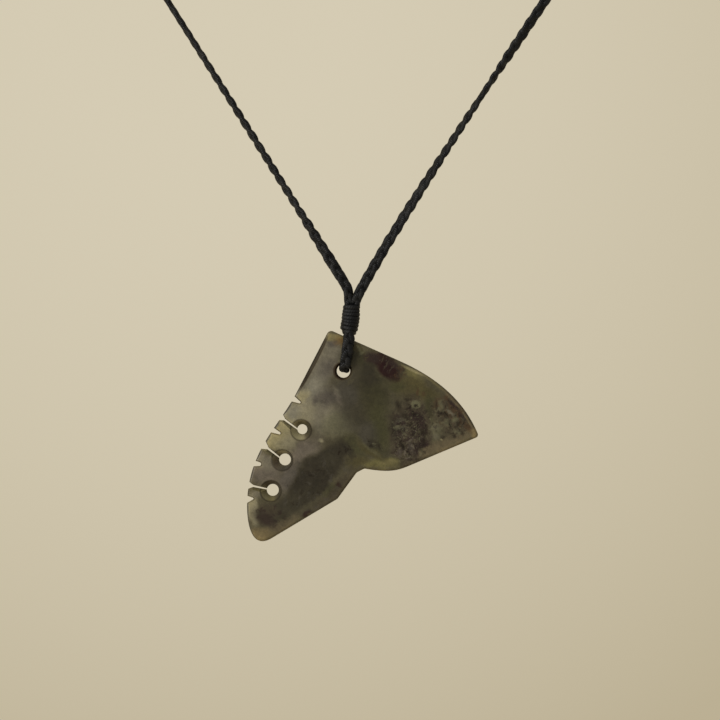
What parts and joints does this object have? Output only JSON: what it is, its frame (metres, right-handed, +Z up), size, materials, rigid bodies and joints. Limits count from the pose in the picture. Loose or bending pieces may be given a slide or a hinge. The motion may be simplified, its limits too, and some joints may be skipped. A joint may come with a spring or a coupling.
{
  "type": "greenstone whale tail pendant necklace",
  "caption": "Flat carved stone pendant shaped as a whale's tail, with a notched edge, hung from a plaited cord loop by a bound eye.",
  "frame": {"origin": "inside of the neck loop's top, on the underside of the join, where the necklace hangs behind the neck", "axes": "+Z up, +X to the right as the carved face is seen, the carved face towards -Y"},
  "size_m": [0.1348, 0.007, 0.2511],
  "materials": {
    "greenstone": "soft matte polish",
    "waxed_cord": "waxed plait",
    "waxed_thread": "waxed thread, bound in close turns"
  },
  "bodies": {
    "necklace_cord": {"neck_cord_left": "waxed_cord", "neck_cord_right": "waxed_cord", "stone_loop": "waxed_cord", "whipping": "waxed_thread", "neck_join": "waxed_thread"},
    "tail": {"whale_tail": "greenstone"}
  },
  "joints": [
    {"name": "pendant_swing", "type": "hinge", "parent": "necklace_cord", "child": "tail", "pos_m": [-0.003, 0, -0.2062], "axis": [0, -1, 0], "range_deg": [0, 34]}
  ]
}
